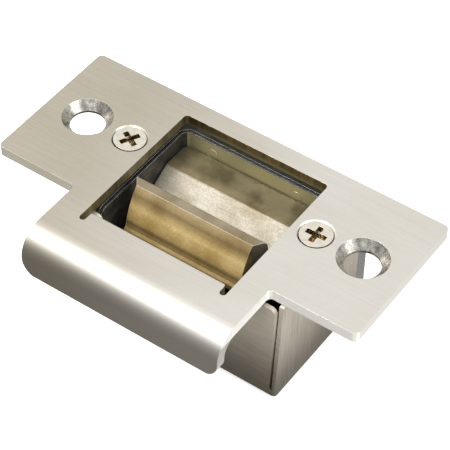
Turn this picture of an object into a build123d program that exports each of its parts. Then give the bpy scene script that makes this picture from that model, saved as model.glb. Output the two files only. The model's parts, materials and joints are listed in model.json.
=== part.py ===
from build123d import *
import math
import os

# Electric door strike. Millimetres.
# Origin: on the faceplate's mounting face (its underside), midway between the two
# frame-screw holes. +X runs along the plate, +Y away from the lip, +Z out of the frame.
# Everything is drawn with z = 0 on the plate's front face and raised by the plate's
# thickness when it is exported.

# ---------------------------------------------------------------- faceplate
PLATE_HALF = 44.45
PLATE_BACK = 17.5
PLATE_FRONT = -17.8
PLATE_T = 2.5
PLATE_CORNER_R = 1.2
LIP_HALF = 24.2
LIP_FRONT = -35.6
LIP_TIP = -10.5
LIP_BEND_R = 6.0
LIP_CORNER_R = 4.0
LIP_ARRIS_R = 0.5
NOTCH_R = 1.0
WINDOW_HALF = 18.05
WINDOW_BACK = 12.9
WINDOW_CORNER_R = 0.9
TONGUE_HALF = 16.6
TONGUE_REAR = -21.6
TONGUE_CORNER_R = 1.0
TONGUE_ROLL_R = 0.6
RELIEF_END = -24.6
FRAME_HOLE_X = 34.65
FRAME_HOLE_R = 3.85
FRAME_SINK_R = 5.56
FRAME_SINK_ANGLE = 82
SMALL_HOLE_X = 23.43
SMALL_HOLE_R = 2.2
SMALL_SINK_R = 4.02
SMALL_SINK_ANGLE = 90
SMALL_HEAD_R = 3.55
SMALL_HEAD_RIM = 0.3
SMALL_HEAD_TOP = -0.15
SMALL_RECESS = (1.25, 4.6, 1.9)
RECESS_TURN = {-1: -28, 1: 3}

# ---------------------------------------------------------------- case cover
CASE_LEFT = -24.4
CASE_RIGHT = 28.15
CASE_FRONT = -19.9
CASE_REAR = 9.8
CASE_TOP = -2.6
CASE_BOTTOM = -29.9
SHEET = 1.0
SEAM = 0.55
SEAM_END = 2.6
CASE_BEND_R = 1.2
CASE_CORNER_R = 0.9
PANEL_TOP = -3.0
PANEL_CORNER_R = 1.3
SIDE_SLANT = 1.3
PANEL_SLANT = 0.5
EAR_GAP = 0.2
CUTOUT_HALF = 16.2
CUTOUT_BOTTOM = -12.0
COVER_SCREWS = ((23.4, 6.0), (23.4, -14.0), (-20.0, 6.0), (-20.0, -14.0))
COVER_SCREW_R = 1.25
COVER_HEAD_R = 2.3

# ---------------------------------------------------------------- mechanism body
POCKET_HALF = 17.75
POCKET_BACK = 12.3
POCKET_CORNER_R = 1.5
CHEEK_OUT = 19.55
CHEEK_FRONT = -17.6
CHEEK_BOTTOM = -23.5
CHEEK_CORNER_R = 2.0
RIM_Z = -4.0
RIM_W = 0.5
RIM_GROOVE_W = 0.35
RIM_GROOVE_D = 0.8
WALL_REAR = 14.2
SLAB_REAR = 13.2
EAR_X = 27.05
EAR_HALF_Y = 5.5
EAR_BOTTOM = -10.0
TAPPED_R = 2.05
BOSS_R = 2.2
BOSS_TOP = -18.0
MARK_X = 10.7
MARK_Z = -7.2
MARK_R = 1.5

# ---------------------------------------------------------------- keeper and its hinge
PIVOT_Y = -6.0
PIVOT_Z = -17.5
PIN_R = 2.0
KEEPER_HALF = 17.45
RIDGE_TOP = -0.85
RIDGE_FRONT = -9.55
RIDGE_BACK = -7.0
RIDGE_HALF = 14.5
RIDGE_HALF_BACK = 16.35
LEDGE_FRONT = -14.3
LEDGE_Z = -10.0
FLOOR_REAR = 11.95
FLOOR_Z = -8.1
CREASE_Y = 4.85
VALLEY_Y = -1.5
VALLEY_Z = -11.7
FLOOR_T = 2.3
KEEPER_UNDERSIDE = -13.6
WEB_IN = 13.9
HUB_R = 3.6
WEB_HALF_LOW = 3.49
TAIL_REAR = -2.6
TAIL_BOTTOM = -21.0
PAD_Y = (8.6, 12.25)
PAD_X = (15.2, 17.7)
PAD_T = 1.2
CLIP_T = 0.5
CLIP_BORE_R = 1.5

# ---------------------------------------------------------------- solenoid and lever
COIL_Y = 5.8
COIL_Z = -20.5
YOKE_X = (-17.0, 7.8)
YOKE_Y = (0.3, 12.3)
YOKE_Z = (-26.6, -14.4)
YOKE_T = 1.1
FLANGE_R = 5.2
TUBE_R = 3.3
BORE_R = 2.57
FLANGE_T = 0.8
WINDING_R = 4.75
WRAP_R = 4.95
TERMINAL_R = 0.25
TERMINAL_Z = (-21.5, -19.5)
PLUNGER_R = 2.5
CORE_FACE = -10.2
PLUNGER_FACE = -7.5
PLUNGER_STEP = 9.0
TONGUE_END = 14.0
TONGUE_HALF_Y = 1.4
TONGUE_HALF_Z = 1.8
SPRING_BORE_R = 1.3
CORE_BORE = 3.0
PLUNGER_BORE = 5.0
LEVER_X = 12.6
LEVER_Z = -14.9
LEVER_PIN_R = 1.0
LEVER_HUB_R = 1.8
LEVER_TIP_X = 14.7
LEVER_TIP_Y = (-2.1, -0.4)
LEVER_TIP_Z = (-20.8, -19.3)
LEVER_CLIP_Y = (-0.15, 0.25)
FORK_BOTTOM = -22.6
FORK_TOP = -16.8
FORK_ROOT = -18.2
FOOT_TOP = -17.6
LEVER_CLIP_R = 0.75
CROSS_R = 0.8
YOKE_SCREW_X = (-12.0, 3.0)
YOKE_SCREW_R = 1.22
GROMMET_X = 23.3
GROMMET_Z = -12.6
GROMMET_R = 3.0
GROMMET_FLANGE_R = 3.6

RUN = 0.05    # radial clearance of turning and sliding fits
FIT = 0.02    # radial clearance of fixed fits


# ---------------------------------------------------------------- helpers
def block(x, y, z):
    """Box between the low and high value of each pair."""
    size = (x[1] - x[0], y[1] - y[0], z[1] - z[0])
    centre = ((x[0] + x[1]) / 2, (y[0] + y[1]) / 2, (z[0] + z[1]) / 2)
    return Pos(*centre) * Box(*size)


def rod_x(y, z, r, x0, x1):
    return Pos((x0 + x1) / 2, y, z) * Rot(0, 90, 0) * Cylinder(r, x1 - x0)


def rod_y(x, z, r, y0, y1):
    return Pos(x, (y0 + y1) / 2, z) * Rot(90, 0, 0) * Cylinder(r, y1 - y0)


def rod_z(x, y, r, z0, z1):
    return Pos(x, y, (z0 + z1) / 2) * Cylinder(r, z1 - z0)


def prism_x(points, x0, x1):
    """Extrude a closed (Y, Z) outline from x0 to x1."""
    face = make_face(Plane.YZ * Polyline(*points, close=True))
    return Pos(x0, 0, 0) * extrude(face, amount=x1 - x0, dir=(1, 0, 0))


def prism_y(points, y0, y1):
    """Extrude a closed (X, Z) outline from y0 to y1."""
    face = make_face(Plane.XZ * Polyline(*points, close=True))
    return Pos(0, y0, 0) * extrude(face, amount=y1 - y0, dir=(0, 1, 0))


def prism_z(points, z0, z1):
    """Extrude a closed (X, Y) outline from z0 to z1."""
    face = make_face(Polyline(*points, close=True))
    return Pos(0, 0, z0) * extrude(face, amount=z1 - z0, dir=(0, 0, 1))


def both_sides(shape):
    return shape + mirror(shape, about=Plane.YZ)


def edges_at(shape, axis, **near):
    """Edges along axis whose centre matches every given |x|, y or z."""
    found = []
    for edge in shape.edges().filter_by(axis):
        c = edge.center()
        here = {"x": abs(c.X), "y": c.Y, "z": c.Z}
        if all(abs(here[key] - value) < 0.02 for key, value in near.items()):
            found.append(edge)
    return found


def countersink(x, hole_r, sink_r, angle):
    """Through hole along Z at (x, 0) with a countersink from the face z = 0."""
    depth = (sink_r - hole_r) / math.tan(math.radians(angle / 2))
    hole = rod_z(x, 0, hole_r, -2 * PLATE_T, 1)
    return hole + Pos(x, 0, -depth / 2) * Cone(hole_r, sink_r, depth)


def cross_recess(width, length, depth):
    """Cross recess going down from z = 0."""
    wing = Pos(0, 0, -depth / 2) * Box(length, width, depth)
    return wing + Rot(0, 0, 90) * wing + Pos(0, 0, -depth) * Cone(0.1, width * 0.8, depth * 0.6)


def flat_head_screw(head_r, r, head_angle, length, recess, rim=0.1):
    """Flat-head screw standing on -Z, top of the head at z = 0."""
    cone_h = (head_r - r) / math.tan(math.radians(head_angle / 2))
    screw = Pos(0, 0, -rim / 2) * Cylinder(head_r, rim)
    screw += Pos(0, 0, -rim - cone_h / 2) * Cone(r, head_r, cone_h)
    screw += rod_z(0, 0, r, -length, -rim)
    return screw - cross_recess(*recess)


def coil_spring(mean_r, wire_r, length, turns):
    """Helix of round wire along +Z from z = 0."""
    path = Helix(pitch=length / turns, height=length, radius=mean_r)
    start = Plane(origin=path @ 0, z_dir=path % 0)
    return sweep(start * Circle(wire_r), path=path)


def retaining_clip(inner_r, outer_r, t):
    """E-clip in the XY plane, open towards -Y, from z = 0 to t."""
    clip = rod_z(0, 0, outer_r, 0, t) - rod_z(0, 0, inner_r, -1, t + 1)
    mouth = inner_r * 0.8
    return clip - block((-mouth, mouth), (-2 * outer_r, 0), (-1, t + 1))


# ---------------------------------------------------------------- faceplate
def lip_section():
    """(Y, Z) outline of the plate and its bent lip."""
    bend_y = LIP_FRONT + LIP_BEND_R
    inner_r = LIP_BEND_R - PLATE_T
    inner_y = LIP_FRONT + PLATE_T
    arris_y = LIP_FRONT + LIP_ARRIS_R
    arris_z = LIP_TIP + LIP_ARRIS_R
    half_chord = math.sqrt(0.5)
    outer_mid = (bend_y - LIP_BEND_R * half_chord, -LIP_BEND_R * (1 - half_chord))
    inner_mid = (bend_y - inner_r * half_chord, -LIP_BEND_R + inner_r * half_chord)
    arris_mid = (arris_y - LIP_ARRIS_R * half_chord, arris_z - LIP_ARRIS_R * half_chord)
    edges = [
        Line((PLATE_BACK, 0), (bend_y, 0)),
        ThreePointArc((bend_y, 0), outer_mid, (LIP_FRONT, -LIP_BEND_R)),
        Line((LIP_FRONT, -LIP_BEND_R), (LIP_FRONT, arris_z)),
        ThreePointArc((LIP_FRONT, arris_z), arris_mid, (arris_y, LIP_TIP)),
        Line((arris_y, LIP_TIP), (inner_y, LIP_TIP)),
        Line((inner_y, LIP_TIP), (inner_y, -LIP_BEND_R)),
        ThreePointArc((inner_y, -LIP_BEND_R), inner_mid, (bend_y, -PLATE_T)),
        Line((bend_y, -PLATE_T), (PLATE_BACK, -PLATE_T)),
        Line((PLATE_BACK, -PLATE_T), (PLATE_BACK, 0)),
    ]
    return make_face([Plane.YZ * edge for edge in edges])


def lip_corner():
    """What is cut away to round one lower corner of the lip."""
    x, z = LIP_HALF - LIP_CORNER_R, LIP_TIP + LIP_CORNER_R
    y = (LIP_FRONT - 1, LIP_FRONT + PLATE_T + 1)
    return block((x, LIP_HALF + 1), y, (LIP_TIP - 1, z)) - rod_y(x, z, LIP_CORNER_R, y[0] - 1, y[1] + 1)


def tongue_corner():
    """What is cut away to round one rear corner of the tongue."""
    x, y = TONGUE_HALF - TONGUE_CORNER_R, TONGUE_REAR - TONGUE_CORNER_R
    z = (-2 * PLATE_T, PLATE_T)
    corner = block((x, TONGUE_HALF + 0.1), (y, TONGUE_REAR + 0.1), z)
    return corner - rod_z(x, y, TONGUE_CORNER_R, 2 * z[0], 2 * z[1])


def plate_blank():
    lip = extrude(lip_section(), amount=LIP_HALF, both=True)
    plate = lip + block((-PLATE_HALF, PLATE_HALF), (PLATE_FRONT, PLATE_BACK), (-PLATE_T, 0))
    plate = fillet(edges_at(plate, Axis.Z, x=PLATE_HALF), PLATE_CORNER_R)
    plate = fillet(edges_at(plate, Axis.Z, x=LIP_HALF, y=PLATE_FRONT), NOTCH_R)
    return plate - both_sides(lip_corner())


def plate_window():
    """Window, open at the front onto the tongue between two bend-relief slots."""
    deep = (-2 * PLATE_T, PLATE_T)
    opening = block((-WINDOW_HALF, WINDOW_HALF), (TONGUE_REAR, WINDOW_BACK), deep)
    opening = fillet(edges_at(opening, Axis.Z, y=WINDOW_BACK), WINDOW_CORNER_R)
    slot_r = (WINDOW_HALF - TONGUE_HALF) / 2
    slot_y = RELIEF_END + slot_r
    slot = block((TONGUE_HALF, WINDOW_HALF), (slot_y, TONGUE_REAR + 1), deep)
    slot += rod_z(TONGUE_HALF + slot_r, slot_y, slot_r, *deep)
    return opening + both_sides(slot)


def faceplate():
    plate = plate_blank() - plate_window()
    plate = fillet(edges_at(plate, Axis.X, y=TONGUE_REAR, z=0), TONGUE_ROLL_R)
    plate -= both_sides(tongue_corner())
    for side in (-1, 1):
        plate -= countersink(side * FRAME_HOLE_X, FRAME_HOLE_R, FRAME_SINK_R, FRAME_SINK_ANGLE)
        plate -= countersink(side * SMALL_HOLE_X, SMALL_HOLE_R, SMALL_SINK_R, SMALL_SINK_ANGLE)
    return plate


def faceplate_screws():
    """Two machine screws, each with its cross recess turned its own way."""
    screw = flat_head_screw(SMALL_HEAD_R, 2.0, SMALL_SINK_ANGLE, 8.5, SMALL_RECESS, SMALL_HEAD_RIM)
    return Compound([Pos(side * SMALL_HOLE_X, 0, SMALL_HEAD_TOP) * Rot(0, 0, turn) * screw
                     for side, turn in RECESS_TURN.items()])


# ---------------------------------------------------------------- case cover
def bottom_folds(shape, left, right, front, bottom):
    """Edges where the bottom meets the front and the two sides."""
    folds = edges_at(shape, Axis.Y, x=-left, z=bottom) + edges_at(shape, Axis.Y, x=right, z=bottom)
    return folds + edges_at(shape, Axis.X, y=front, z=bottom)


def cover_blank():
    """Folded sheet: front, bottom and both sides, with rounded folds."""
    outer = block((CASE_LEFT, CASE_RIGHT), (CASE_FRONT, CASE_REAR), (CASE_BOTTOM, CASE_TOP))
    outer = fillet(edges_at(outer, Axis.Z, y=CASE_FRONT), CASE_CORNER_R)
    bottom = outer.faces().sort_by(Axis.Z)[0]
    folds = [edge for edge in bottom.edges() if edge.center().Y < CASE_REAR - 1]
    outer = fillet(folds, CASE_BEND_R)
    left, right = CASE_LEFT + SHEET, CASE_RIGHT - SHEET
    front, floor = CASE_FRONT + SHEET, CASE_BOTTOM + SHEET
    inner = block((left, right), (front, CASE_REAR + 5), (floor, 5))
    inner = fillet(bottom_folds(inner, left, right, front, floor), CASE_BEND_R - SHEET)
    return outer - inner


def slanted_front_edge():
    """Sliver taken off the front edge of the right side, growing towards the top."""
    low = CASE_BOTTOM + SEAM_END
    outline = [(CASE_FRONT - 1, low), (CASE_FRONT, low), (CASE_FRONT + SIDE_SLANT, CASE_TOP),
               (CASE_FRONT + SIDE_SLANT, CASE_TOP + 1), (CASE_FRONT - 1, CASE_TOP + 1)]
    return prism_x(outline, CASE_RIGHT - SHEET, CASE_RIGHT + 1)


def right_seam():
    """Gap between the front panel and the right side, narrowing towards the top."""
    right = CASE_RIGHT - SHEET
    low = CASE_BOTTOM + SEAM_END
    outline = [(right - SEAM, low), (right, low), (right, CASE_TOP + 1),
               (right - SEAM + PANEL_SLANT, CASE_TOP + 1)]
    return prism_y(outline, CASE_FRONT - 1, CASE_FRONT + SHEET)


def case_cover():
    cover = cover_blank()
    left, right = CASE_LEFT + SHEET, CASE_RIGHT - SHEET
    panel = (CASE_FRONT - 1, CASE_FRONT + SHEET)
    cover -= block((left, left + SEAM), panel, (CASE_BOTTOM + SEAM_END, CASE_TOP + 1)) + right_seam()
    cover -= block((left, right), panel, (PANEL_TOP, CASE_TOP + 1))
    cover -= block((-CUTOUT_HALF, CUTOUT_HALF), panel, (CUTOUT_BOTTOM, CASE_TOP + 1))
    cover -= block((CASE_LEFT - 1, left + 0.1), (-EAR_HALF_Y - EAR_GAP, EAR_HALF_Y + EAR_GAP),
                   (EAR_BOTTOM - EAR_GAP, CASE_TOP + 1))
    cover = fillet(edges_at(cover, Axis.Y, y=CASE_FRONT + SHEET / 2, z=PANEL_TOP), PANEL_CORNER_R)
    cover -= slanted_front_edge()
    for x, y in COVER_SCREWS:
        sink = Cone(COVER_HEAD_R, COVER_HEAD_R - SHEET, SHEET)
        cover -= Pos(x, y, CASE_BOTTOM + SHEET / 2) * sink
    return cover


def cover_screws():
    """Four flat-head screws up through the bottom of the cover."""
    screw = flat_head_screw(COVER_HEAD_R - 0.15, COVER_SCREW_R, 90, 8.0, (0.6, 2.3, 0.6))
    return Compound([Pos(x, y, CASE_BOTTOM) * Rot(180, 0, 0) * screw for x, y in COVER_SCREWS])


# ---------------------------------------------------------------- mechanism body
def body_walls():
    """Rear wall and sill, outer rear slabs and the two cheeks round the pocket."""
    walls = block((-CHEEK_OUT, CHEEK_OUT), (POCKET_BACK, WALL_REAR), (CASE_BOTTOM, RIM_Z))
    walls += block((-CHEEK_OUT, CHEEK_OUT), (CASE_REAR, POCKET_BACK), (CASE_BOTTOM, CASE_BOTTOM + SHEET))
    for x in ((CASE_LEFT, -CHEEK_OUT), (CHEEK_OUT, CASE_RIGHT)):
        walls += block(x, (CASE_REAR, SLAB_REAR), (CASE_BOTTOM, CASE_TOP))
    cheek = block((POCKET_HALF, CHEEK_OUT), (CHEEK_FRONT, SLAB_REAR), (CHEEK_BOTTOM, RIM_Z))
    cheek = fillet(edges_at(cheek, Axis.X, y=CHEEK_FRONT), CHEEK_CORNER_R)
    r = POCKET_CORNER_R
    corner = block((POCKET_HALF - r, POCKET_HALF), (POCKET_BACK - r, POCKET_BACK),
                   (CASE_BOTTOM + SHEET, RIM_Z))
    corner -= rod_z(POCKET_HALF - r, POCKET_BACK - r, r, CASE_BOTTOM, 0)
    return walls + both_sides(cheek + corner)


def rim_groove():
    """Narrow groove behind the raised rim of the pocket."""
    rings = []
    for offset in (RIM_W + RIM_GROOVE_W, RIM_W):
        half = POCKET_HALF + offset
        back = POCKET_BACK + offset
        ring = block((-half, half), (CHEEK_FRONT - 5, back), (RIM_Z - RIM_GROOVE_D, RIM_Z + 1))
        rings.append(fillet(edges_at(ring, Axis.Z, y=back), POCKET_CORNER_R + offset))
    return rings[0] - rings[1]


def screw_ears():
    """Bosses under the faceplate for its screws."""
    ear = block((CHEEK_OUT, EAR_X), (-EAR_HALF_Y, EAR_HALF_Y), (EAR_BOTTOM, -PLATE_T))
    ear -= rod_z(SMALL_HOLE_X, 0, TAPPED_R, EAR_BOTTOM - 1, 0)
    return both_sides(ear)


def cover_bosses():
    """Posts for the cover's screws; the right-hand ones are ribbed to the slab and the cheek."""
    floor = CASE_BOTTOM + SHEET
    rib = 1.2
    posts = Part()
    for x, y in COVER_SCREWS:
        posts += rod_z(x, y, BOSS_R, floor, BOSS_TOP)
    (x, rear_y), (_, front_y) = COVER_SCREWS[:2]
    posts += block((x - rib, x + rib), (rear_y, CASE_REAR), (floor, BOSS_TOP))
    posts += block((CHEEK_OUT, x), (front_y - rib, front_y + rib), (CHEEK_BOTTOM, BOSS_TOP))
    return posts


def cover_screw_holes():
    floor = CASE_BOTTOM + SHEET
    return [rod_z(x, y, COVER_SCREW_R + FIT, floor - 1, floor + 8) for x, y in COVER_SCREWS]


def pad_ledges():
    """Small ledges in the rear corners that carry the keeper's rest pads."""
    top = FLOOR_Z - FLOOR_T - PAD_T
    ledge_h = 2.2
    return both_sides(block((PAD_X[0], POCKET_HALF), (PAD_Y[0], POCKET_BACK), (top - ledge_h, top)))


def mechanism_body():
    body = body_walls() - rim_groove()
    body += screw_ears() + cover_bosses() + pad_ledges()
    for hole in cover_screw_holes():
        body -= hole
    body -= rod_x(PIVOT_Y, PIVOT_Z, PIN_R + FIT, -CHEEK_OUT - 1, CHEEK_OUT + 1)
    for side in (-1, 1):
        mark = rod_y(side * MARK_X, MARK_Z, MARK_R, POCKET_BACK - 1, POCKET_BACK + 0.08)
        mark -= rod_y(side * MARK_X, MARK_Z, MARK_R - 0.15, POCKET_BACK - 2, POCKET_BACK + 1)
        body -= mark
    for x in YOKE_SCREW_X:
        body -= yoke_screw_hole(x)
    body -= rod_y(GROMMET_X, GROMMET_Z, GROMMET_R, CASE_REAR - 1, SLAB_REAR + 1)
    return body


def yoke_screw_hole(x):
    head_r = 2.4
    hole = rod_y(x, COIL_Z, YOKE_SCREW_R + FIT, POCKET_BACK - 1, WALL_REAR + 1)
    depth = head_r - YOKE_SCREW_R
    sink = Rot(-90, 0, 0) * Cone(YOKE_SCREW_R, head_r, depth)
    return hole + Pos(x, WALL_REAR - depth / 2, COIL_Z) * sink


def wire_grommet():
    """Rubber bush with a groove that grips the rear slab."""
    bore_r = 1.6
    flange_t = 0.9
    bush = rod_y(GROMMET_X, GROMMET_Z, GROMMET_R - FIT, CASE_REAR - flange_t, SLAB_REAR + flange_t)
    bush += rod_y(GROMMET_X, GROMMET_Z, GROMMET_FLANGE_R, CASE_REAR - flange_t, CASE_REAR)
    bush += rod_y(GROMMET_X, GROMMET_Z, GROMMET_FLANGE_R, SLAB_REAR, SLAB_REAR + flange_t)
    return bush - rod_y(GROMMET_X, GROMMET_Z, bore_r, CASE_REAR - 2, SLAB_REAR + 2)


# ---------------------------------------------------------------- keeper
def keeper_section():
    """(Y, Z) outline: pocket floor, ramp, latch ridge, curved front and ledge."""
    crown = [(RIDGE_BACK, RIDGE_TOP - 0.55), (RIDGE_BACK - 0.6, RIDGE_TOP), (RIDGE_FRONT, RIDGE_TOP)]
    front_low = (-13.4, -8.8)
    front_mid = (-12.1, -4.75)
    ledge_root = (-13.73, -9.44)
    edges = [
        Polyline((FLOOR_REAR, FLOOR_Z), (CREASE_Y, FLOOR_Z), (VALLEY_Y, VALLEY_Z),
                 (RIDGE_BACK + 1.4, VALLEY_Z), *crown),
        ThreePointArc(crown[-1], front_mid, front_low),
        Polyline(front_low, ledge_root, (LEDGE_FRONT, LEDGE_Z), (LEDGE_FRONT, LEDGE_Z - 1.2),
                 (LEDGE_FRONT + 2.4, KEEPER_UNDERSIDE), (VALLEY_Y + 0.2, KEEPER_UNDERSIDE),
                 (CREASE_Y - 0.6, FLOOR_Z - FLOOR_T), (FLOOR_REAR, FLOOR_Z - FLOOR_T),
                 (FLOOR_REAR, FLOOR_Z)),
    ]
    return make_face([Plane.YZ * edge for edge in edges])


def ridge_end_cut():
    """Material taken off one end of the ridge, outside its tapered plan."""
    slope = (RIDGE_HALF_BACK - RIDGE_HALF) / (RIDGE_BACK - RIDGE_FRONT)
    end_y = RIDGE_BACK + (KEEPER_HALF - RIDGE_HALF_BACK) / slope
    out = KEEPER_HALF + 1
    plan = [(RIDGE_HALF, LEDGE_FRONT - 1), (out, LEDGE_FRONT - 1), (out, end_y),
            (KEEPER_HALF, end_y), (RIDGE_HALF, RIDGE_FRONT)]
    return prism_z(plan, KEEPER_UNDERSIDE - 1, 1)


def keeper_web():
    """Arm from the floor down to the hinge bore at one end."""
    top = VALLEY_Z - 1.0
    outline = [(-8.2, top), (-0.6, top),
               (PIVOT_Y + WEB_HALF_LOW, PIVOT_Z), (PIVOT_Y - WEB_HALF_LOW, PIVOT_Z)]
    web = prism_x(outline, WEB_IN, KEEPER_HALF)
    return web + rod_x(PIVOT_Y, PIVOT_Z, HUB_R, WEB_IN, KEEPER_HALF)


def keeper_tail():
    """Stop on the right arm that the locking lever's tip stands behind."""
    front = PIVOT_Y - 1.0
    tail = block((WEB_IN, KEEPER_HALF), (front, TAIL_REAR), (TAIL_BOTTOM, PIVOT_Z))
    return chamfer(edges_at(tail, Axis.Z, x=WEB_IN, y=TAIL_REAR), 0.25)


def keeper():
    latch = extrude(keeper_section(), amount=KEEPER_HALF, both=True)
    latch = fillet(edges_at(latch, Axis.Z, x=KEEPER_HALF, y=FLOOR_REAR), POCKET_CORNER_R - 0.3)
    latch -= both_sides(ridge_end_cut())
    latch += both_sides(keeper_web()) + keeper_tail()
    return latch - rod_x(PIVOT_Y, PIVOT_Z, PIN_R + RUN, -KEEPER_HALF - 1, KEEPER_HALF + 1)


def keeper_pin():
    end = 20.6
    groove_x = CHEEK_OUT + 0.1
    pin = rod_x(PIVOT_Y, PIVOT_Z, PIN_R, -end, end)
    ring = rod_x(PIVOT_Y, PIVOT_Z, PIN_R + 1, groove_x, groove_x + CLIP_T)
    ring -= rod_x(PIVOT_Y, PIVOT_Z, CLIP_BORE_R - FIT, groove_x - 1, groove_x + CLIP_T + 1)
    return pin - both_sides(ring)


def keeper_pin_clips():
    clip = retaining_clip(CLIP_BORE_R, 3.0, CLIP_T)
    placed = Pos(CHEEK_OUT + 0.1, PIVOT_Y, PIVOT_Z) * Rot(0, 90, 0) * Rot(0, 0, -90) * clip
    return Compound([placed, mirror(placed, about=Plane.YZ)])


def keeper_rest_pads():
    top = FLOOR_Z - FLOOR_T
    pad = block(PAD_X, PAD_Y, (top - PAD_T, top))
    inner_corner = [e for e in pad.edges().filter_by(Axis.Z)
                    if e.center().X > PAD_X[1] - 0.1 and e.center().Y > PAD_Y[1] - 0.1]
    pad = fillet(inner_corner, POCKET_CORNER_R)
    return Compound([pad, mirror(pad, about=Plane.YZ)])


def keeper_spring():
    """Torsion spring round the hinge pin, one leg under the keeper, one on the case floor."""
    wire_r = 0.45
    mean_r = PIN_R + wire_r + 0.08
    half = 4.5
    turns = 8
    end_gap = 0.06
    axis = Plane(origin=(-half, PIVOT_Y, PIVOT_Z), x_dir=(0, -1, 0), z_dir=(1, 0, 0))
    coil = axis * Helix(pitch=2 * half / turns, height=2 * half, radius=mean_r)
    rise = KEEPER_UNDERSIDE - end_gap - PIVOT_Z
    drop = PIVOT_Z - (CASE_BOTTOM + SHEET + end_gap)
    tangent = coil % 0
    down = tangent * (1 / abs(tangent.Z))
    upper_end = coil @ 0 - down * rise
    lower_end = coil @ 1 + down * drop
    upper_leg = Edge.make_line(upper_end, coil @ 0)
    lower_leg = Edge.make_line(coil @ 1, lower_end)
    path = Wire([upper_leg, coil.edge(), lower_leg])
    return sweep(Plane(origin=upper_end, z_dir=tangent) * Circle(wire_r), path=path)


# ---------------------------------------------------------------- solenoid
def solenoid_yoke():
    """Folded steel frame with two ears for the lever pin."""
    x0, x1 = YOKE_X
    front, rear = YOKE_Y
    web = block(YOKE_X, (rear - YOKE_T, rear), YOKE_Z)
    left = block((x0, x0 + YOKE_T), YOKE_Y, YOKE_Z)
    right = block((x1 - YOKE_T, x1), YOKE_Y, YOKE_Z)
    yoke = fillet(edges_at(web + left + right, Axis.Z, x=-x0, y=rear), POCKET_CORNER_R)
    for y0 in (front, rear - YOKE_T):
        ear = rod_y(LEVER_X, LEVER_Z, LEVER_HUB_R, y0, y0 + YOKE_T)
        ear += block((x1 - YOKE_T, LEVER_X), (y0, y0 + YOKE_T),
                     (LEVER_Z - LEVER_HUB_R, LEVER_Z + LEVER_HUB_R))
        yoke += ear
    yoke -= rod_y(LEVER_X, LEVER_Z, LEVER_PIN_R + FIT, front - 1, rear + 1)
    yoke -= rod_x(COIL_Y, COIL_Z, PLUNGER_R + FIT, x0 - 1, x0 + 2)
    yoke -= rod_x(COIL_Y, COIL_Z, BORE_R, x1 - 2, x1 + 1)
    for x in YOKE_SCREW_X:
        yoke -= rod_y(x, COIL_Z, YOKE_SCREW_R + FIT, rear - 2, rear + 1)
    return yoke


def solenoid_screws():
    """Two flat-head screws through the rear wall into the yoke."""
    length = WALL_REAR - YOKE_Y[1] + YOKE_T - 0.1
    screw = flat_head_screw(2.2, YOKE_SCREW_R, 90, length, (0.6, 2.2, 0.6))
    return Compound([Pos(x, WALL_REAR - 0.05, COIL_Z) * Rot(-90, 0, 0) * screw for x in YOKE_SCREW_X])


def coil_ends():
    """X of the bobbin's outer faces, clear of the yoke's end plates."""
    play = 0.2
    return YOKE_X[0] + YOKE_T + play, YOKE_X[1] - YOKE_T - play


def terminal_rods(r):
    x0, _ = coil_ends()
    return [rod_y(x0 + FLANGE_T / 2, z, r, -1.2, 2.0) for z in TERMINAL_Z]


def coil_bobbin():
    x0, x1 = coil_ends()
    bobbin = rod_x(COIL_Y, COIL_Z, TUBE_R, x0, x1)
    bobbin += rod_x(COIL_Y, COIL_Z, FLANGE_R, x0, x0 + FLANGE_T)
    bobbin += rod_x(COIL_Y, COIL_Z, FLANGE_R, x1 - FLANGE_T, x1)
    bobbin -= rod_x(COIL_Y, COIL_Z, BORE_R, x0 - 1, x1 + 1)
    for hole in terminal_rods(TERMINAL_R + FIT):
        bobbin -= hole
    return bobbin


def coil_sleeve(r_in, r_out):
    x0, x1 = coil_ends()
    sleeve = rod_x(COIL_Y, COIL_Z, r_out, x0 + FLANGE_T, x1 - FLANGE_T)
    return sleeve - rod_x(COIL_Y, COIL_Z, r_in, x0, x1)


def coil_winding():
    return coil_sleeve(TUBE_R, WINDING_R)


def coil_wrap():
    return coil_sleeve(WINDING_R, WRAP_R)


def coil_terminals():
    return Compound(terminal_rods(TERMINAL_R))


def fixed_core():
    core = rod_x(COIL_Y, COIL_Z, PLUNGER_R, YOKE_X[0] - 0.5, CORE_FACE)
    return core - rod_x(COIL_Y, COIL_Z, SPRING_BORE_R, CORE_FACE - CORE_BORE, CORE_FACE + 1)


def plunger():
    """Sliding iron core with a flat tongue that the lever's fork straddles."""
    rod = rod_x(COIL_Y, COIL_Z, PLUNGER_R, PLUNGER_FACE, PLUNGER_STEP)
    rod += block((PLUNGER_STEP, TONGUE_END), (COIL_Y - TONGUE_HALF_Y, COIL_Y + TONGUE_HALF_Y),
                 (COIL_Z - TONGUE_HALF_Z, COIL_Z + TONGUE_HALF_Z))
    rod -= rod_x(COIL_Y, COIL_Z, SPRING_BORE_R, PLUNGER_FACE - 1, PLUNGER_FACE + PLUNGER_BORE)
    return rod - rod_y(LEVER_X, COIL_Z, CROSS_R + FIT, COIL_Y - 3, COIL_Y + 3)


def plunger_cross_pin():
    return rod_y(LEVER_X, COIL_Z, CROSS_R, COIL_Y - 3.1, COIL_Y + 3.1)


def plunger_spring():
    """Compression spring between the bores of the fixed core and the plunger."""
    wire_r = 0.2
    start = CORE_FACE - CORE_BORE + wire_r + 0.02
    end = PLUNGER_FACE + PLUNGER_BORE - wire_r - 0.02
    axis = Plane(origin=(start, COIL_Y, COIL_Z), x_dir=(0, -1, 0), z_dir=(1, 0, 0))
    return axis * coil_spring(0.95, wire_r, end - start, 9)


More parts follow.
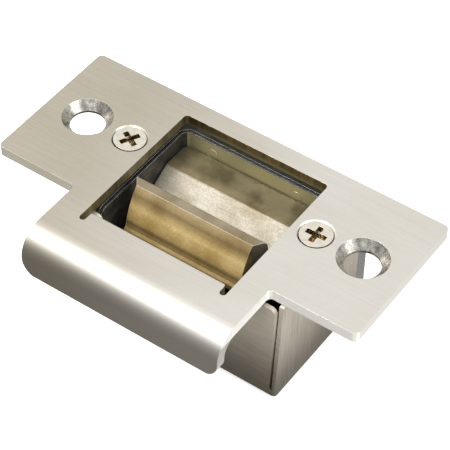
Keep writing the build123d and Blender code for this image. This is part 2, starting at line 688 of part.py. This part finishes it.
# ---------------------------------------------------------------- locking lever
def fork_slot():
    """Slot through both fork cheeks for the plunger's cross pin."""
    r = CROSS_R + 0.1
    reach = 0.6
    y = (COIL_Y - 3.4, COIL_Y + 3.4)
    slot = rod_y(LEVER_X, COIL_Z + reach, r, *y) + rod_y(LEVER_X, COIL_Z - reach, r, *y)
    return slot + block((LEVER_X - r, LEVER_X + r), y, (COIL_Z - reach, COIL_Z + reach))


def lever_fork():
    """Two cheeks that straddle the plunger's tongue."""
    half_w = 1.7
    inner, outer = 1.6, 2.8
    x = (LEVER_X - half_w, LEVER_X + half_w)
    fork = block(x, (COIL_Y - outer, COIL_Y + outer), (FORK_BOTTOM, FORK_TOP))
    fork = fillet(edges_at(fork, Axis.Y, z=FORK_BOTTOM), half_w * 0.9)
    return fork - block(x, (COIL_Y - inner, COIL_Y + inner), (FORK_BOTTOM - 1, FORK_ROOT))


def lever_tip():
    """Foot that stands behind the keeper's tail, with its leading corner eased."""
    tip = block((LEVER_X, LEVER_TIP_X), LEVER_TIP_Y, LEVER_TIP_Z)
    corner = edges_at(tip, Axis.Z, x=LEVER_TIP_X, y=LEVER_TIP_Y[0])
    return chamfer(corner, 0.25)


def locking_lever():
    gap = 0.2
    y0 = YOKE_Y[0] + YOKE_T + gap
    y1 = YOKE_Y[1] - YOKE_T - gap
    half_t = 0.8
    plate_x = (LEVER_X - half_t, LEVER_X + half_t)
    lever = rod_y(LEVER_X, LEVER_Z, LEVER_HUB_R, y0, y1)
    lever += block(plate_x, (y0, y1), (FORK_ROOT, LEVER_Z)) + lever_fork()
    lever += block(plate_x, (LEVER_TIP_Y[0], COIL_Y - 2), (LEVER_TIP_Z[0], FOOT_TOP)) + lever_tip()
    return lever - fork_slot() - rod_y(LEVER_X, LEVER_Z, LEVER_PIN_R + RUN, y0 - 1, y1 + 1)


def lever_pin():
    pin = rod_y(LEVER_X, LEVER_Z, LEVER_PIN_R, -0.6, YOKE_Y[1] - 0.1)
    groove = rod_y(LEVER_X, LEVER_Z, LEVER_PIN_R + 1, *LEVER_CLIP_Y)
    return pin - (groove - rod_y(LEVER_X, LEVER_Z, LEVER_CLIP_R - FIT, -1, 1))


def lever_pin_clip():
    t = LEVER_CLIP_Y[1] - LEVER_CLIP_Y[0]
    clip = retaining_clip(LEVER_CLIP_R, 1.7, t)
    return Pos(LEVER_X, LEVER_CLIP_Y[1], LEVER_Z) * Rot(90, 0, 0) * clip


# ---------------------------------------------------------------- export
PARTS = (
    faceplate, faceplate_screws, case_cover, cover_screws, mechanism_body, wire_grommet,
    keeper, keeper_pin, keeper_pin_clips, keeper_rest_pads, keeper_spring,
    solenoid_yoke, solenoid_screws, coil_bobbin, coil_winding, coil_wrap, coil_terminals,
    fixed_core, plunger, plunger_cross_pin, plunger_spring,
    locking_lever, lever_pin, lever_pin_clip,
)

os.makedirs("parts", exist_ok=True)
for make in PARTS:
    export_step(Pos(0, 0, PLATE_T) * make(), "parts/" + make.__name__ + ".step")
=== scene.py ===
import json
import math

import bpy
from mathutils import Matrix, Vector


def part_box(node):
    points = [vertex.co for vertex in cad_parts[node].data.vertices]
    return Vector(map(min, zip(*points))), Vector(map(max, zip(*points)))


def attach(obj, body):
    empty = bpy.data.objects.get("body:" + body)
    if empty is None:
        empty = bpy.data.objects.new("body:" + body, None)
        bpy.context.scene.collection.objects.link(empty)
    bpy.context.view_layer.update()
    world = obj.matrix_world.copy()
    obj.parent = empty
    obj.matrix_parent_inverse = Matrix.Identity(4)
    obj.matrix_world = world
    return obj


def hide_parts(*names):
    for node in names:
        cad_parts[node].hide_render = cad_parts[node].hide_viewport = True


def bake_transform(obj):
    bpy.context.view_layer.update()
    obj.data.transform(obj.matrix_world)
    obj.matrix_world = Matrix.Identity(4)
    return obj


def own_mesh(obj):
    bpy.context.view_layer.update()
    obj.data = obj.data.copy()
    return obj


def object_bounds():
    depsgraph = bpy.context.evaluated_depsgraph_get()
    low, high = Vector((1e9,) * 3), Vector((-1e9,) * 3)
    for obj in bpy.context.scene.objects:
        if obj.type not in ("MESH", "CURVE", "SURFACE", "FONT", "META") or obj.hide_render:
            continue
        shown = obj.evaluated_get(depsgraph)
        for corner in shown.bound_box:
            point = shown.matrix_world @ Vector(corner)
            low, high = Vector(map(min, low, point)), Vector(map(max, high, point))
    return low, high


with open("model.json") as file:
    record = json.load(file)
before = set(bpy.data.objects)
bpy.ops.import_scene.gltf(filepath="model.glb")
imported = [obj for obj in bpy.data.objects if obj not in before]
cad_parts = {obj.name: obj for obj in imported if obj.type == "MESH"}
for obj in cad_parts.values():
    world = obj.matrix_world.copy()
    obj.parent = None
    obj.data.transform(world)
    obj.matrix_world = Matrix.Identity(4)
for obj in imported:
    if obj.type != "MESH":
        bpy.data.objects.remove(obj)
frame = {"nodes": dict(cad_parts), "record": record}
cad_low, cad_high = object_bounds()
nodes = frame["nodes"]
record = frame["record"]

# ---------------------------------------------------------------- places on the part
# Metres, in the row frame, whose origin is on the plate's mounting face. Apart from FACE_Z, names
# ending in _Z are heights above the plate's front face, as Shader.axes() gives them. They bound
# where a colour or finish applies. A pair is where a band or a fade starts and ends.
MM = 0.001


def mount(name):
    """A mount from the record."""
    return next(m for m in record["mounts"] if m["name"] == name)


FACE_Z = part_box("faceplate")[1].z
PLATE_T = FACE_Z
HOLE_X = mount("frame_screws")["dims"]["spacing_x_mm"] / 2 * MM
COUNTERSINK_R = 5.53 * MM
PLATE_SCREW_X = 23.43 * MM

WINDOW_HALF_X = 18.2 * MM
WINDOW_FRONT_Y = -30.0 * MM
WINDOW_BACK_Y = 13.5 * MM
WINDOW_REAR_WALL_Y = 12.8 * MM
LIP_BEND_START_Y = -28.0 * MM
LIP_BEND_END_Y = -31.0 * MM

KEEPER_FRONT_Y = (-15.0 * MM, -9.55 * MM)
KEEPER_FRONT_Z = (-10.4 * MM, -0.8 * MM)
KEEPER_CREASE_Y = (4.5 * MM, 5.3 * MM)
KEEPER_LIGHTER_Y = (8.5 * MM, 5.2 * MM)
KEEPER_RIDGE_Y = -6.8 * MM
KEEPER_RIDGE_Z = -0.95 * MM

BODY_CHEEK_X = 19.6 * MM
BODY_REAR_Y = (12.0 * MM, 12.85 * MM)
BODY_REAR_TOP_Z = -4.2 * MM

WIRE_PITCH = 0.22 * MM

# ---------------------------------------------------------------- small node helpers


def rgb(r, g, b):
    """Linear colour from 8-bit sRGB numbers."""
    out = []
    for c in (r, g, b):
        c /= 255
        out.append(c / 12.92 if c <= 0.04045 else ((c + 0.055) / 1.055) ** 2.4)
    return tuple(out)


class Nodes:
    """Short calls for adding nodes to one node tree."""

    def __init__(self, tree):
        self.tree = tree
        tree.nodes.clear()

    def node(self, kind):
        return self.tree.nodes.new("ShaderNode" + kind)

    def join(self, source, socket):
        self.tree.links.new(source, socket)

    def put(self, socket, source):
        """Links a socket to source, or sets it where source is a plain value."""
        if isinstance(source, bpy.types.NodeSocket):
            self.join(source, socket)
        else:
            socket.default_value = source

    def math(self, op, a, b=0.0):
        node = self.node("Math")
        node.operation = op
        self.put(node.inputs[0], a)
        self.put(node.inputs[1], b)
        return node.outputs[0]

    def plus(self, a, b):
        return self.math("ADD", a, b)

    def minus(self, a, b):
        return self.math("SUBTRACT", a, b)

    def times(self, a, b):
        return self.math("MULTIPLY", a, b)

    def size(self, a):
        return self.math("ABSOLUTE", a)

    def above(self, a, limit):
        return self.math("GREATER_THAN", a, limit)

    def below(self, a, limit):
        return self.math("LESS_THAN", a, limit)

    def within(self, a, limits):
        low_limit, high_limit = limits
        return self.times(self.below(a, high_limit), self.above(a, low_limit))

    def opposite(self, mask):
        return self.minus(1.0, mask)

    def vmath(self, op, a, b=(0, 0, 0)):
        node = self.node("VectorMath")
        node.operation = op
        self.put(node.inputs[0], a)
        self.put(node.inputs[1], b)
        return node.outputs["Value"] if op in ("LENGTH", "DOT_PRODUCT") else node.outputs[0]

    def vector(self, *parts):
        node = self.node("CombineXYZ")
        for socket, part in zip(node.inputs, parts):
            self.put(socket, part)
        return node.outputs[0]

    def parts(self, vector):
        node = self.node("SeparateXYZ")
        self.join(vector, node.inputs[0])
        return node.outputs[0], node.outputs[1], node.outputs[2]

    def span(self, value, lo, hi, to_lo=0.0, to_hi=1.0):
        """Smooth change from to_lo, where value is lo, to to_hi, where it is hi."""
        node = self.node("MapRange")
        node.interpolation_type = "SMOOTHSTEP"
        for socket, v in zip(node.inputs, (value, lo, hi, to_lo, to_hi)):
            self.put(socket, v)
        return node.outputs["Result"]

    def mix(self, fac, a, b, blend="MIX"):
        node = self.node("Mix")
        node.data_type = "RGBA"
        node.blend_type = blend
        self.put(node.inputs["Factor"], fac)
        for key, value in (("A", a), ("B", b)):
            socket = next(s for s in node.inputs if s.name == key and s.type == "RGBA")
            self.put(socket, (*value, 1.0) if isinstance(value, tuple) else value)
        return next(s for s in node.outputs if s.type == "RGBA")

    def tint(self, a, b):
        return self.mix(1.0, a, b, "MULTIPLY")


class Shader(Nodes):
    """A material with a Principled BSDF."""

    def __init__(self, name):
        self.mat = bpy.data.materials.new(name)
        self.mat.use_nodes = True
        super().__init__(self.mat.node_tree)
        output = self.node("OutputMaterial")
        self.bsdf = self.node("BsdfPrincipled")
        self.join(self.bsdf.outputs[0], output.inputs["Surface"])
        self.coord = self.node("TexCoord").outputs["Object"]

    def set(self, **values):
        for key, value in values.items():
            self.bsdf.inputs[key.replace("_", " ")].default_value = value

    def link(self, name, source):
        self.join(source, self.bsdf.inputs[name])

    def noise(self, scale, detail, rough, offset=(0, 0, 0)):
        """Noise with its own scale per metre on each axis, 0 to 1."""
        mapping = self.node("Mapping")
        mapping.inputs["Scale"].default_value = scale
        mapping.inputs["Location"].default_value = offset
        self.join(self.coord, mapping.inputs["Vector"])
        node = self.node("TexNoise")
        node.inputs["Scale"].default_value = 1.0
        node.inputs["Detail"].default_value = detail
        node.inputs["Roughness"].default_value = rough
        self.join(mapping.outputs[0], node.inputs["Vector"])
        return node.outputs["Fac"]

    def tones(self, fac, *stops):
        """Colour ramp. Each stop is its position, then red, green and blue in 8-bit sRGB."""
        node = self.node("ValToRGB")
        elements = node.color_ramp.elements
        while len(elements) < len(stops):
            elements.new(0.5)
        for element, (position, r, g, b) in zip(elements, stops):
            element.position = position
            element.color = (*rgb(r, g, b), 1.0)
        self.put(node.inputs["Fac"], fac)
        return node.outputs["Color"]

    def axes(self):
        """x and y in the row frame, and the height above the plate's front face."""
        x, y, z = self.parts(self.coord)
        return x, y, self.minus(z, FACE_Z)

    def facing(self):
        """The three parts of the surface's own normal."""
        return self.parts(self.node("NewGeometry").outputs["True Normal"])

    def reach(self, axis_x):
        """Distance across the plate from the nearer of two axes, at plus and minus axis_x."""
        x, y, _ = self.axes()
        return self.vmath("LENGTH", self.vector(self.minus(self.size(x), axis_x), y))

    def edge(self, radius):
        """(rounded normal, mask that is 1 along sharp edges)."""
        bevel = self.node("Bevel")
        bevel.samples = 6
        bevel.inputs["Radius"].default_value = radius
        normal = self.node("NewGeometry").outputs["Normal"]
        same = self.vmath("DOT_PRODUCT", bevel.outputs[0], normal)
        return bevel.outputs[0], self.span(same, 0.99, 0.80)

    def painted_edge_highlight(self, colour, mask, bright):
        """Colour with a painted highlight along its sharp edges."""
        return self.mix(self.times(mask, 0.85), colour, bright)

    def bump(self, height, distance, strength, normal=None):
        node = self.node("Bump")
        node.inputs["Strength"].default_value = strength
        node.inputs["Distance"].default_value = distance
        self.join(height, node.inputs["Height"])
        if normal is not None:
            self.join(normal, node.inputs["Normal"])
        return node.outputs[0]

    def leaning(self, normal, amount):
        """Normal tipped upwards, as on a sheared face that rolls over at its top."""
        lift = self.vector(0.0, 0.0, amount)
        return self.vmath("NORMALIZE", self.vmath("ADD", normal, lift))


# ---------------------------------------------------------------- faceplate


def plate_grain(s):
    """Fine and long brush lines along X, with specks."""
    fine = s.noise((90, 7000, 7000), 4, 0.6)
    long = s.noise((20, 1800, 1800), 3, 0.5, (3, 1, 0))
    speck = s.noise((1400, 2600, 2600), 4, 0.6, (1, 8, 3))
    lines = s.plus(s.times(fine, 0.5), s.times(long, 0.25))
    return s.plus(lines, s.times(speck, 0.25))


def plate_colour(s, grain):
    """Painted shade: darker and yellower at the left end, lighter towards the right."""
    shaded_x = -38.0 * MM
    lit_x = 24.0 * MM
    x, _, _ = s.axes()
    shaded_tones = s.tones(grain, (0.32, 192, 187, 174), (0.52, 202, 198, 187), (0.70, 212, 208, 198))
    lit_tones = s.tones(grain, (0.32, 222, 221, 219), (0.52, 231, 230, 228), (0.70, 238, 237, 236))
    patch = s.noise((45, 90, 90), 3, 0.5, (7, 2, 1))
    tone = s.tones(patch, (0.3, 248, 246, 242), (0.7, 255, 254, 252))
    return s.tint(s.mix(s.span(x, shaded_x, lit_x), shaded_tones, lit_tones), tone)


def countersink_colour(s):
    """Chatter marks left by the cutter."""
    chatter = s.noise((1100, 1100, 300), 4, 0.75, (1, 5, 2))
    return s.tones(chatter, (0.34, 128, 125, 119), (0.50, 160, 157, 150), (0.68, 206, 204, 199))


def window_walls(s, upright):
    """Mask of the punched faces inside the window and its slots."""
    x, y, _ = s.axes()
    across = s.below(s.size(x), WINDOW_HALF_X)
    inside = s.times(across, s.within(y, (WINDOW_FRONT_Y, WINDOW_BACK_Y)))
    return s.times(upright, inside)


def punched_colour(s):
    """Upright streaks, stained olive and brown, greener low on the rear wall."""
    green_start_z = -1.3 * MM
    green_end_z = -2.3 * MM
    _, y, z = s.axes()
    streak = s.noise((800, 800, 120), 3, 0.6, (2, 2, 2))
    rear = s.tones(streak, (0.30, 112, 99, 68), (0.50, 136, 121, 84), (0.70, 166, 149, 108))
    rear = s.mix(s.span(z, green_start_z, green_end_z), rear, rgb(158, 162, 138))
    side = s.tones(streak, (0.30, 124, 118, 92), (0.70, 166, 158, 126))
    return s.mix(s.above(y, WINDOW_REAR_WALL_Y), side, rear)


def plate_roughness(s, grain, wall, cone):
    """Rougher on the punched walls and the lip's bend, smoother in the countersinks."""
    _, y, _ = s.axes()
    bend = s.span(y, LIP_BEND_START_Y, LIP_BEND_END_Y)
    rough = s.plus(s.span(grain, 0.3, 0.7, 0.44, 0.34), s.times(wall, 0.12))
    rough = s.minus(rough, s.times(cone, 0.12))
    return s.plus(rough, s.times(bend, 0.12))


def plate_normal(s, grain, upright, wall, cone, reach):
    """Brush lines, turned rings in the countersinks, and sheared outer edges."""
    ring_waves = 26000.0
    below_plate_z = -(PLATE_T + 0.01 * MM)
    _, _, z = s.axes()
    rings = s.math("SINE", s.times(reach, ring_waves))
    lines = s.times(grain, s.opposite(cone))
    height = s.plus(lines, s.times(s.times(rings, cone), 0.25))
    outer = s.times(upright, s.opposite(s.math("MAXIMUM", wall, cone)))
    outer = s.times(outer, s.above(z, below_plate_z))
    rounded, _ = s.edge(0.06 * MM)
    normal = s.leaning(rounded, s.times(outer, 0.85))
    return s.bump(height, 0.008 * MM, 0.7, normal)


def satin_plate():
    """Stainless plate brushed along X, machined countersinks, punched window walls."""
    s = Shader("satin_stainless")
    _, _, up = s.facing()
    upright = s.below(s.size(up), 0.2)
    reach = s.reach(HOLE_X)
    cone = s.below(reach, COUNTERSINK_R)
    wall = window_walls(s, upright)
    grain = plate_grain(s)
    colour = s.mix(cone, plate_colour(s, grain), countersink_colour(s))
    s.link("Base Color", s.mix(wall, colour, punched_colour(s)))
    s.link("Roughness", plate_roughness(s, grain, wall, cone))
    s.set(Metallic=1.0, Anisotropic=0.5)
    s.link("Tangent", s.vector(1.0, 0.0, 0.0))
    s.link("Normal", plate_normal(s, grain, upright, wall, cone, reach))
    return s.mat


# ---------------------------------------------------------------- case


def case_grain(s):
    """Front panel brushed along X, side panels brushed upright."""
    across, _, _ = s.facing()
    side = s.above(s.size(across), 0.7)
    along = s.noise((120, 3500, 5000), 4, 0.6)
    upright = s.noise((3500, 5000, 120), 4, 0.6, (3, 3, 3))
    return s.plus(s.times(along, s.opposite(side)), s.times(upright, side))


def case_steel():
    """Brushed case sheet, with painted shade that darkens it downwards."""
    top_z = -6.0 * MM
    foot_z = -29.0 * MM
    s = Shader("case_stainless")
    _, _, z = s.axes()
    grain = case_grain(s)
    patch = s.noise((120, 120, 120), 3, 0.5, (5, 1, 4))
    metal = s.tones(grain, (0.30, 190, 187, 180), (0.52, 206, 203, 196), (0.72, 222, 219, 213))
    tone = s.tones(patch, (0.3, 244, 240, 232), (0.7, 255, 253, 249))
    # Painted shade: the colour darkens from the top of the case towards its foot.
    painted_shade_downwards = s.mix(s.span(z, top_z, foot_z), rgb(255, 254, 252), rgb(148, 145, 140))
    s.link("Base Color", s.tint(s.tint(metal, tone), painted_shade_downwards))
    s.link("Roughness", s.span(grain, 0.3, 0.7, 0.62, 0.52))
    s.set(Metallic=0.72)
    rounded, _ = s.edge(0.08 * MM)
    s.link("Normal", s.bump(grain, 0.01 * MM, 0.8, rounded))
    return s.mat


# ---------------------------------------------------------------- keeper


def keeper_grain(s):
    """Tumbled sand texture with cutter lines along X."""
    sand = s.noise((2600, 2600, 2600), 4, 0.65)
    lines = s.noise((90, 4000, 4000), 3, 0.6, (2, 7, 1))
    return s.plus(s.times(sand, 0.65), s.times(lines, 0.35))


def golden_front(s, grain, colour):
    """Golden curved front, with painted shade and painted highlight in bands from its foot to its
    top.
    """
    _, y, z = s.axes()
    gold = s.tones(grain, (0.30, 216, 198, 154), (0.50, 236, 220, 180), (0.70, 248, 238, 208))
    # Painted shade near the foot and the top, painted highlight across the middle.
    painted_shade_bands = s.tones(
        s.span(z, *KEEPER_FRONT_Z),
        (0.00, 170, 160, 134), (0.12, 160, 149, 122), (0.22, 232, 221, 190),
        (0.36, 244, 232, 200), (0.66, 252, 244, 220), (0.82, 196, 184, 158),
        (0.92, 150, 142, 128), (1.00, 180, 172, 158))
    return s.mix(s.within(y, KEEPER_FRONT_Y), colour, s.tint(gold, painted_shade_bands))


def olive_rear(s, cloud, colour):
    """Dark olive behind the crease, lighter next to it."""
    _, y, _ = s.axes()
    olive = s.tones(cloud, (0.35, 90, 85, 67), (0.65, 122, 114, 90))
    lighter_olive = s.tones(cloud, (0.35, 122, 112, 86), (0.65, 150, 138, 108))
    olive = s.mix(s.span(y, *KEEPER_LIGHTER_Y), olive, lighter_olive)
    return s.mix(s.times(s.span(y, *KEEPER_CREASE_Y), 0.9), colour, olive)


def dull_ridge(s, grain, colour):
    """Greyer metal along the keeper's top ridge."""
    _, y, z = s.axes()
    ridge = s.times(s.above(z, KEEPER_RIDGE_Z), s.below(y, KEEPER_RIDGE_Y))
    return s.mix(ridge, colour, s.tones(grain, (0.3, 140, 132, 114), (0.7, 160, 151, 132)))


def keeper_metal():
    """Machined and tumbled keeper: beige slope, olive rear, golden worn front with painted shade
    and highlight bands, and a painted highlight along its sharp edges.
    """
    s = Shader("keeper_steel")
    cloud = s.noise((150, 150, 150), 4, 0.55, (4, 4, 1))
    grain = keeper_grain(s)
    colour = s.tones(grain, (0.30, 142, 138, 130), (0.50, 160, 156, 147), (0.70, 178, 174, 166))
    colour = golden_front(s, grain, colour)
    colour = olive_rear(s, cloud, colour)
    colour = dull_ridge(s, grain, colour)
    stain = s.tones(cloud, (0.32, 214, 204, 180), (0.62, 255, 253, 248))
    rounded, edge = s.edge(0.22 * MM)
    # Painted highlight, pale beige, along the sharp edges.
    s.link("Base Color", s.painted_edge_highlight(s.tint(colour, stain), edge, rgb(222, 215, 200)))
    s.link("Roughness", s.span(grain, 0.3, 0.7, 0.60, 0.48))
    s.set(Metallic=0.70)
    s.link("Normal", s.bump(grain, 0.016 * MM, 0.9, rounded))
    return s.mat


# ---------------------------------------------------------------- mechanism body


def zinc_inner(s):
    """Flow marks inside the pocket, with a warm patch on the wall behind the keeper."""
    _, y, z = s.axes()
    flow = s.noise((260, 260, 420), 4, 0.6, (3, 2, 6))
    inner = s.tones(flow, (0.30, 60, 61, 59), (0.52, 84, 85, 82), (0.72, 114, 112, 103))
    rear = s.times(s.within(y, BODY_REAR_Y), s.below(z, BODY_REAR_TOP_Z))
    return s.mix(s.times(rear, 0.9), inner, rgb(206, 200, 158))


def zinc_casting():
    """Dark die-cast zinc: fine grain, soft flow marks and a painted highlight along its sharp
    edges.
    """
    s = Shader("zinc_casting")
    x, _, _ = s.axes()
    grain = s.noise((3200, 3200, 3200), 5, 0.7)
    outer = s.tones(grain, (0.30, 112, 113, 113), (0.55, 150, 151, 150), (0.75, 186, 187, 186))
    colour = s.mix(s.above(s.size(x), BODY_CHEEK_X), zinc_inner(s), outer)
    rounded, edge = s.edge(0.12 * MM)
    # Painted highlight, light grey, along the sharp edges.
    s.link("Base Color", s.painted_edge_highlight(colour, edge, rgb(214, 214, 210)))
    s.link("Roughness", s.span(grain, 0.3, 0.7, 0.58, 0.42))
    s.set(Metallic=0.8)
    s.link("Normal", s.bump(grain, 0.03 * MM, 0.7, rounded))
    return s.mat


# ---------------------------------------------------------------- small pieces


def plated(name, colour, rough):
    """Smooth plated or ground metal with slight clouding."""
    s = Shader(name)
    grain = s.noise((3000, 3000, 3000), 3, 0.5)
    cloud = s.noise((700, 700, 700), 3, 0.5, (1, 2, 3))
    r, g, b = colour
    dark = (r * 0.86, g * 0.85, b * 0.82)
    s.link("Base Color", s.tones(cloud, (0.3, *dark), (0.65, *colour)))
    s.link("Roughness", s.span(cloud, 0.3, 0.7, rough * 1.25, rough * 0.85))
    s.set(Metallic=1.0)
    rounded, _ = s.edge(0.12 * MM)
    s.link("Normal", s.bump(grain, 0.006 * MM, 0.8, rounded))
    return s.mat


def plastic(name, dark, light, rough, depth=0.01 * MM):
    """Moulded plastic or rubber with a fine surface texture."""
    s = Shader(name)
    grain = s.noise((1500, 1500, 1500), 4, 0.6)
    s.link("Base Color", s.tones(grain, (0.3, *dark), (0.7, *light)))
    s.link("Roughness", s.span(grain, 0.3, 0.7, rough + 0.08, rough - 0.05))
    rounded, _ = s.edge(0.15 * MM)
    s.link("Normal", s.bump(grain, depth, 0.8, rounded))
    return s.mat


def screw_stain_and_crevice_shade(s, colour):
    """Recess of the two plate screws stained golden brown, and painted shade in the crevice round
    them.
    """
    recess_z = (-0.19 * MM, -0.34 * MM)
    recess_r = 2.45 * MM
    crevice_shade_z = (-0.17 * MM, -0.22 * MM)
    crevice_shade_r = 3.4 * MM
    lowest_plate_screw_z = -9.0 * MM
    _, _, z = s.axes()
    reach = s.reach(PLATE_SCREW_X)
    plate_screw = s.above(z, lowest_plate_screw_z)
    blot = s.noise((1500, 1500, 1500), 4, 0.7)
    stain = s.tones(blot, (0.30, 58, 46, 24), (0.50, 128, 108, 66), (0.68, 236, 224, 186))
    recess = s.times(s.span(z, *recess_z), s.below(reach, recess_r))
    crevice_shade = s.times(s.span(z, *crevice_shade_z), s.above(reach, crevice_shade_r))
    colour = s.mix(s.times(recess, plate_screw), colour, stain)
    # Painted shade, dark brown, in the crevice between each head and its countersink.
    return s.mix(s.times(crevice_shade, plate_screw), colour, rgb(40, 32, 22))


def screw_metal():
    """Bright nickel heads."""
    s = Shader("nickel_screws")
    cloud = s.noise((900, 900, 900), 3, 0.5)
    bright = s.tones(cloud, (0.3, 222, 218, 206), (0.7, 246, 243, 235))
    s.link("Base Color", screw_stain_and_crevice_shade(s, bright))
    s.link("Roughness", s.span(cloud, 0.3, 0.7, 0.34, 0.26))
    s.set(Metallic=1.0)
    rounded, _ = s.edge(0.06 * MM)
    s.link("Normal", s.bump(cloud, 0.02 * MM, 0.5, rounded))
    return s.mat


def wound_wire():
    """Copper winding: turns run round the coil's axis, so the ridges repeat along X."""
    s = Shader("copper_wire")
    x, _, _ = s.axes()
    turns = s.math("SINE", s.times(x, 2 * math.pi / WIRE_PITCH))
    turn_shading = s.span(turns, -1.0, 1.0)
    # Painted shade in the grooves between turns and painted highlight on their crests.
    colour = s.tones(turn_shading, (0.0, 110, 48, 20), (0.6, 204, 112, 58), (1.0, 238, 158, 96))
    s.link("Base Color", colour)
    s.set(Metallic=1.0, Roughness=0.3)
    s.link("Normal", s.bump(turns, 0.05 * MM, 0.8))
    return s.mat


materials = {
    "satin_stainless": satin_plate(),
    "case_stainless": case_steel(),
    "keeper_steel": keeper_metal(),
    "zinc_casting": zinc_casting(),
    "nickel_screws": screw_metal(),
    "copper_wire": wound_wire(),
    "ground_steel": plated("ground_steel", (214, 214, 212), 0.22),
    "spring_steel": plated("spring_steel", (172, 174, 178), 0.30),
    "zinc_plated_steel": plated("zinc_plated_steel", (198, 202, 208), 0.34),
    "terminal_brass": plated("terminal_brass", (214, 186, 112), 0.28),
    "white_nylon": plastic("white_nylon", (206, 203, 192), (232, 229, 220), 0.45),
    "coil_tape": plastic("coil_tape", (186, 152, 40), (214, 184, 66), 0.35),
    "black_rubber": plastic("black_rubber", (14, 14, 14), (34, 33, 32), 0.62, 0.03 * MM),
}
slot_of = {part["node"]: part["material_slot"] for part in record["subparts"]}
for name, obj in nodes.items():
    obj.data.materials.clear()
    obj.data.materials.append(materials[slot_of[name]])

# ---------------------------------------------------------------- springs


def shown(name, data):
    """A new object in the scene."""
    obj = bpy.data.objects.new(name, data)
    bpy.context.scene.collection.objects.link(obj)
    return obj


def moving_copy(node, name):
    """A copy shown in place of a CAD spring, which is hidden. A copy shown in place of a
    CAD spring, because the CAD mesh itself mustn't change.
    """
    piece = shown(name, nodes[node].data.copy())
    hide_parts(node)
    return piece


def wound_keeper_spring():
    """Torsion spring between the case and the keeper; its legs lie at the two ends of the spring's
    box.

    Shown as a copy of the CAD spring, with its placement baked into its mesh.
    """
    piece = moving_copy("keeper_spring", "keeper_spring_wound")
    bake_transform(piece)


def pressed_plunger_spring():
    """Compression spring between the core and the plunger, shown as a copy of the CAD spring
    attached to the housing, with a mesh of its own.
    """
    piece = moving_copy("plunger_spring", "plunger_spring_pressed")
    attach(piece, "housing")
    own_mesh(piece)


wound_keeper_spring()
pressed_plunger_spring()

# ---------------------------------------------------------------- stage, lights, camera


def floor_material():
    """Matt and slightly glowing, so that it stays pale under the part."""
    s = Shader("pale_floor")
    s.set(Base_Color=(0.95, 0.95, 0.95, 1.0), Roughness=0.9, Specular_IOR_Level=0.0)
    s.set(Emission_Color=(1, 1, 1, 1), Emission_Strength=0.55)
    return s.mat


def floor():
    """Pale floor just below the part. Shiny surfaces don't mirror it."""
    half = 2.0
    z = cad_low.z - 0.2 * MM
    corners = [(-half, -half, z), (half, -half, z), (half, half, z), (-half, half, z)]
    mesh = bpy.data.meshes.new("floor")
    mesh.from_pydata(corners, [], [(0, 1, 2, 3)])
    mesh.materials.append(floor_material())
    obj = shown("floor", mesh)
    obj.visible_glossy = False


def area_light(name, direction, distance, size, power, colour):
    """Rectangular light that faces the origin."""
    light = bpy.data.lights.new(name, "AREA")
    light.shape = "RECTANGLE"
    light.size, light.size_y = size
    light.energy = power
    light.color = colour
    obj = shown(name, light)
    direction = Vector(direction).normalized()
    obj.location = direction * distance
    obj.rotation_euler = direction.to_track_quat("Z", "Y").to_euler()


def surroundings():
    """Soft studio: pale all round, warmer at the left, with a dim flag low in front of the lip."""
    above = (1.05, 1.04, 1.02)
    below = (0.62, 0.60, 0.57)
    left = (0.86, 0.83, 0.77)
    flag = (0.17, 0.155, 0.135)
    world = bpy.data.worlds.new("studio")
    bpy.context.scene.world = world
    world.use_nodes = True
    n = Nodes(world.node_tree)
    output = n.node("OutputWorld")
    background = n.node("Background")
    direction = n.node("TexCoord").outputs["Generated"]

    def towards(vector, start, end):
        """Mask that rises from 0 to 1 as the direction turns towards vector."""
        dot = n.vmath("DOT_PRODUCT", direction, Vector(vector).normalized())
        return n.span(dot, start, end)

    sky = n.mix(towards((0, 0, 1), -0.7, 0.8), below, above)
    sky = n.mix(towards((-0.8, 0.5, 0.3), 0.2, 1.0), sky, left)
    sky = n.mix(towards((-0.30, -0.85, -0.43), 0.30, 0.85), sky, flag)
    n.join(sky, background.inputs["Color"])
    n.join(background.outputs[0], output.inputs["Surface"])


def camera():
    """The photograph's viewpoint: in front, to the right and above, through a long lens."""
    place = Vector((0.16152, -0.23816, 0.29253 + FACE_Z))
    right = Vector((0.81863, 0.57403, 0.01819))
    back = Vector((0.38345, -0.56989, 0.72677))
    up = back.cross(right)
    data = bpy.data.cameras.new("camera")
    data.sensor_width = 36.0
    data.lens = 159.54
    data.clip_start, data.clip_end = 0.01, 20.0
    obj = shown("camera", data)
    turn = Matrix((right, up, back)).transposed().to_4x4()
    obj.matrix_world = Matrix.Translation(place) @ turn
    bpy.context.scene.camera = obj


floor()
surroundings()
area_light("key", (-0.38, -0.42, 0.82), 0.8, (0.8, 0.30), 6.0, (1.0, 0.99, 0.97))
area_light("fill", (0.75, 0.10, 0.65), 0.9, (0.6, 0.6), 3.0, (1.0, 0.99, 0.98))
camera()
bpy.context.scene.view_settings.view_transform = "Standard"
